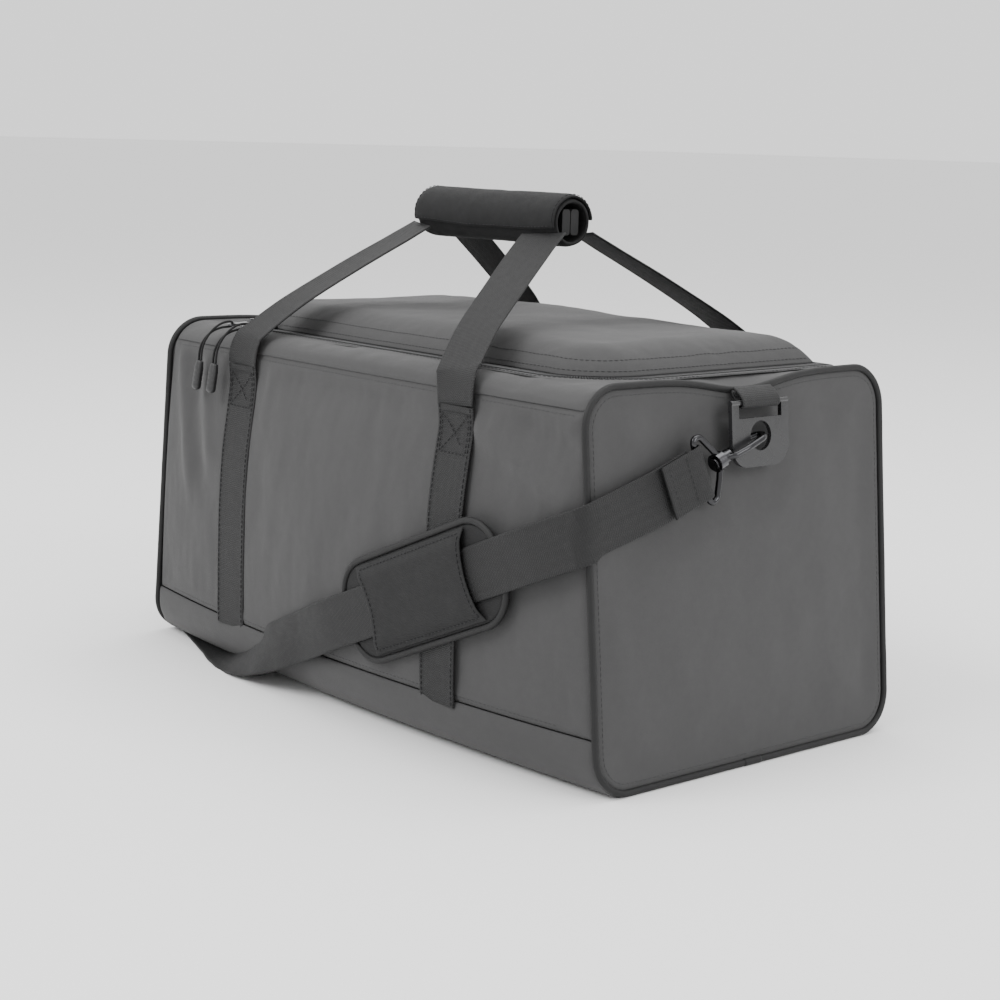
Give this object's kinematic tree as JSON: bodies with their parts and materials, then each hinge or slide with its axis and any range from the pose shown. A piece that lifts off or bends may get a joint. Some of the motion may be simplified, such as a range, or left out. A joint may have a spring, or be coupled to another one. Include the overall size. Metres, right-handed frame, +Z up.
{
  "type": "duffel bag",
  "caption": "Soft rectangular duffel bag with a zipped lid flap, wrapped carry handles, end rings and a padded, clip-on shoulder strap lying over its front.",
  "frame": {"origin": "on the floor under the middle of the bag's bottom", "axes": "+X along the bag's length, -Y out of the front face, +Z up"},
  "size_m": [0.5729, 0.341, 0.3887],
  "materials": {
    "body_fabric": "dark grey fine twill polyester with a soft sheen",
    "piping": "black bound piping",
    "webbing": "black ribbed webbing",
    "wrap_fabric": "black woven wrap",
    "pad_fabric": "black padded woven fabric",
    "binding": "black binding tape",
    "mesh": "black open mesh",
    "board": "matt black board",
    "zip_tape": "black zip tape",
    "zip_coil": "black nylon coil, slightly glossy",
    "zip_metal": "black lacquered metal",
    "pull_cord": "black braided cord",
    "pull_grip": "black moulded grip, satin",
    "ring_plastic": "black moulded plastic, satin gloss",
    "hook_metal": "black nickel, glossy"
  },
  "bodies": {
    "root": {"front_panel": "body_fabric", "back_panel": "body_fabric", "bottom_panel": "body_fabric", "top_surround": "body_fabric", "left_end_panel": "body_fabric", "right_end_panel": "body_fabric", "left_piping": "piping", "right_piping": "piping", "base_board": "board", "mesh_pocket": "mesh", "pocket_binding": "binding", "zipper_tape_body": "zip_tape", "zipper_coil_body": "zip_coil", "front_strap_left": "webbing", "front_strap_right": "webbing", "back_strap_left": "webbing", "back_strap_right": "webbing", "front_leg_left": "webbing", "front_leg_right": "webbing", "back_leg_left": "webbing", "back_leg_right": "webbing", "left_ring_tab": "webbing", "right_ring_tab": "webbing", "shoulder_strap": "webbing", "left_strap_end": "webbing", "right_strap_end": "webbing", "left_bail": "hook_metal", "right_bail": "hook_metal"},
    "lid": {"lid_panel": "body_fabric", "zipper_tape_lid": "zip_tape", "zipper_coil_lid": "zip_coil"},
    "handles": {"front_grip": "webbing", "back_grip": "webbing", "wrap_base": "wrap_fabric"},
    "wrap_flap": {"wrap_flap": "wrap_fabric"},
    "slider_a": {"slider_a": "zip_metal"},
    "slider_b": {"slider_b": "zip_metal"},
    "pull_a": {"pull_tab_a": "zip_metal", "pull_cord_a": "pull_cord", "pull_end_a": "pull_grip"},
    "pull_b": {"pull_tab_b": "zip_metal", "pull_cord_b": "pull_cord", "pull_end_b": "pull_grip"},
    "right_ring": {"right_ring": "ring_plastic"},
    "left_ring": {"left_ring": "ring_plastic"},
    "right_hook": {"right_hook": "hook_metal"},
    "left_hook": {"left_hook": "hook_metal"},
    "right_gate": {"right_gate": "hook_metal"},
    "left_gate": {"left_gate": "hook_metal"},
    "pad": {"pad_base": "pad_fabric", "pad_binding": "binding", "pad_sleeve": "pad_fabric"},
    "adjuster": {"strap_adjuster": "ring_plastic"}
  },
  "joints": [
    {"name": "lid_fold", "type": "hinge", "parent": "root", "child": "lid", "pos_m": [0, 0.118, 0.2656], "axis": [1, 0, 0], "range_deg": [0, 75]},
    {"name": "handles_drop", "type": "slide", "parent": "root", "child": "handles", "axis": [0, 0, -1], "range_m": [0, 0.035], "deforming": ["front_leg_left", "front_leg_right", "back_leg_left", "back_leg_right"]},
    {"name": "flap_open", "type": "hinge", "parent": "handles", "child": "wrap_flap", "pos_m": [-0.007, 0.01995, 0.363], "axis": [-1, 0, 0], "range_deg": [0, 110]},
    {"name": "slider_a_run", "type": "hinge", "parent": "root", "child": "slider_a", "pos_m": [-0.172, -0.062, 0.268], "axis": [0, 0, 1], "range_deg": [-12, 0]},
    {"name": "slider_b_run", "type": "slide", "parent": "root", "child": "slider_b", "axis": [-1, 0, 0], "range_m": [-0.32, 0]},
    {"name": "pull_a_lift", "type": "hinge", "parent": "slider_a", "child": "pull_a", "pos_m": [-0.17636, -0.11181, 0.272], "axis": [-0.9962, 0.0872, 0], "range_deg": [0, 100]},
    {"name": "pull_b_lift", "type": "hinge", "parent": "slider_b", "child": "pull_b", "pos_m": [-0.157, -0.112, 0.272], "axis": [-1, 0, 0], "range_deg": [0, 100]},
    {"name": "right_ring_swing", "type": "hinge", "parent": "root", "child": "right_ring", "pos_m": [0.26238, 0.006, 0.25174], "axis": [0, -1, 0], "range_deg": [-2, 2]},
    {"name": "right_hook_swivel", "type": "hinge", "parent": "root", "child": "right_hook", "pos_m": [0.2656, -0.03347, 0.21452], "axis": [-0.034, 0.9397, 0.3403], "range_deg": [-8, 8]},
    {"name": "right_gate_press", "type": "hinge", "parent": "right_hook", "child": "right_gate", "pos_m": [0.25943, -0.02266, 0.21785], "axis": [0.0935, 0.342, -0.935], "range_deg": [0, 8], "stiffness_Nm_per_rad": 0.02},
    {"name": "left_ring_swing", "type": "hinge", "parent": "root", "child": "left_ring", "pos_m": [-0.26238, 0.006, 0.25174], "axis": [0, 1, 0], "range_deg": [-2, 2]},
    {"name": "left_hook_swivel", "type": "hinge", "parent": "root", "child": "left_hook", "pos_m": [-0.26795, -0.01175, 0.19093], "axis": [-0.0902, -0.4226, -0.9018], "range_deg": [-8, 8]},
    {"name": "left_gate_press", "type": "hinge", "parent": "left_hook", "child": "left_gate", "pos_m": [-0.26115, -0.00689, 0.20073], "axis": [0.0421, -0.9063, 0.4205], "range_deg": [0, 8], "stiffness_Nm_per_rad": 0.02},
    {"name": "pad_shift", "type": "slide", "parent": "root", "child": "pad", "axis": [0.9177, 0.0551, 0.3933], "range_m": [-0.02, 0.02]},
    {"name": "adjuster_shift", "type": "slide", "parent": "root", "child": "adjuster", "axis": [0.0902, 0.4226, 0.9018], "range_m": [-0.025, 0.025]}
  ]
}
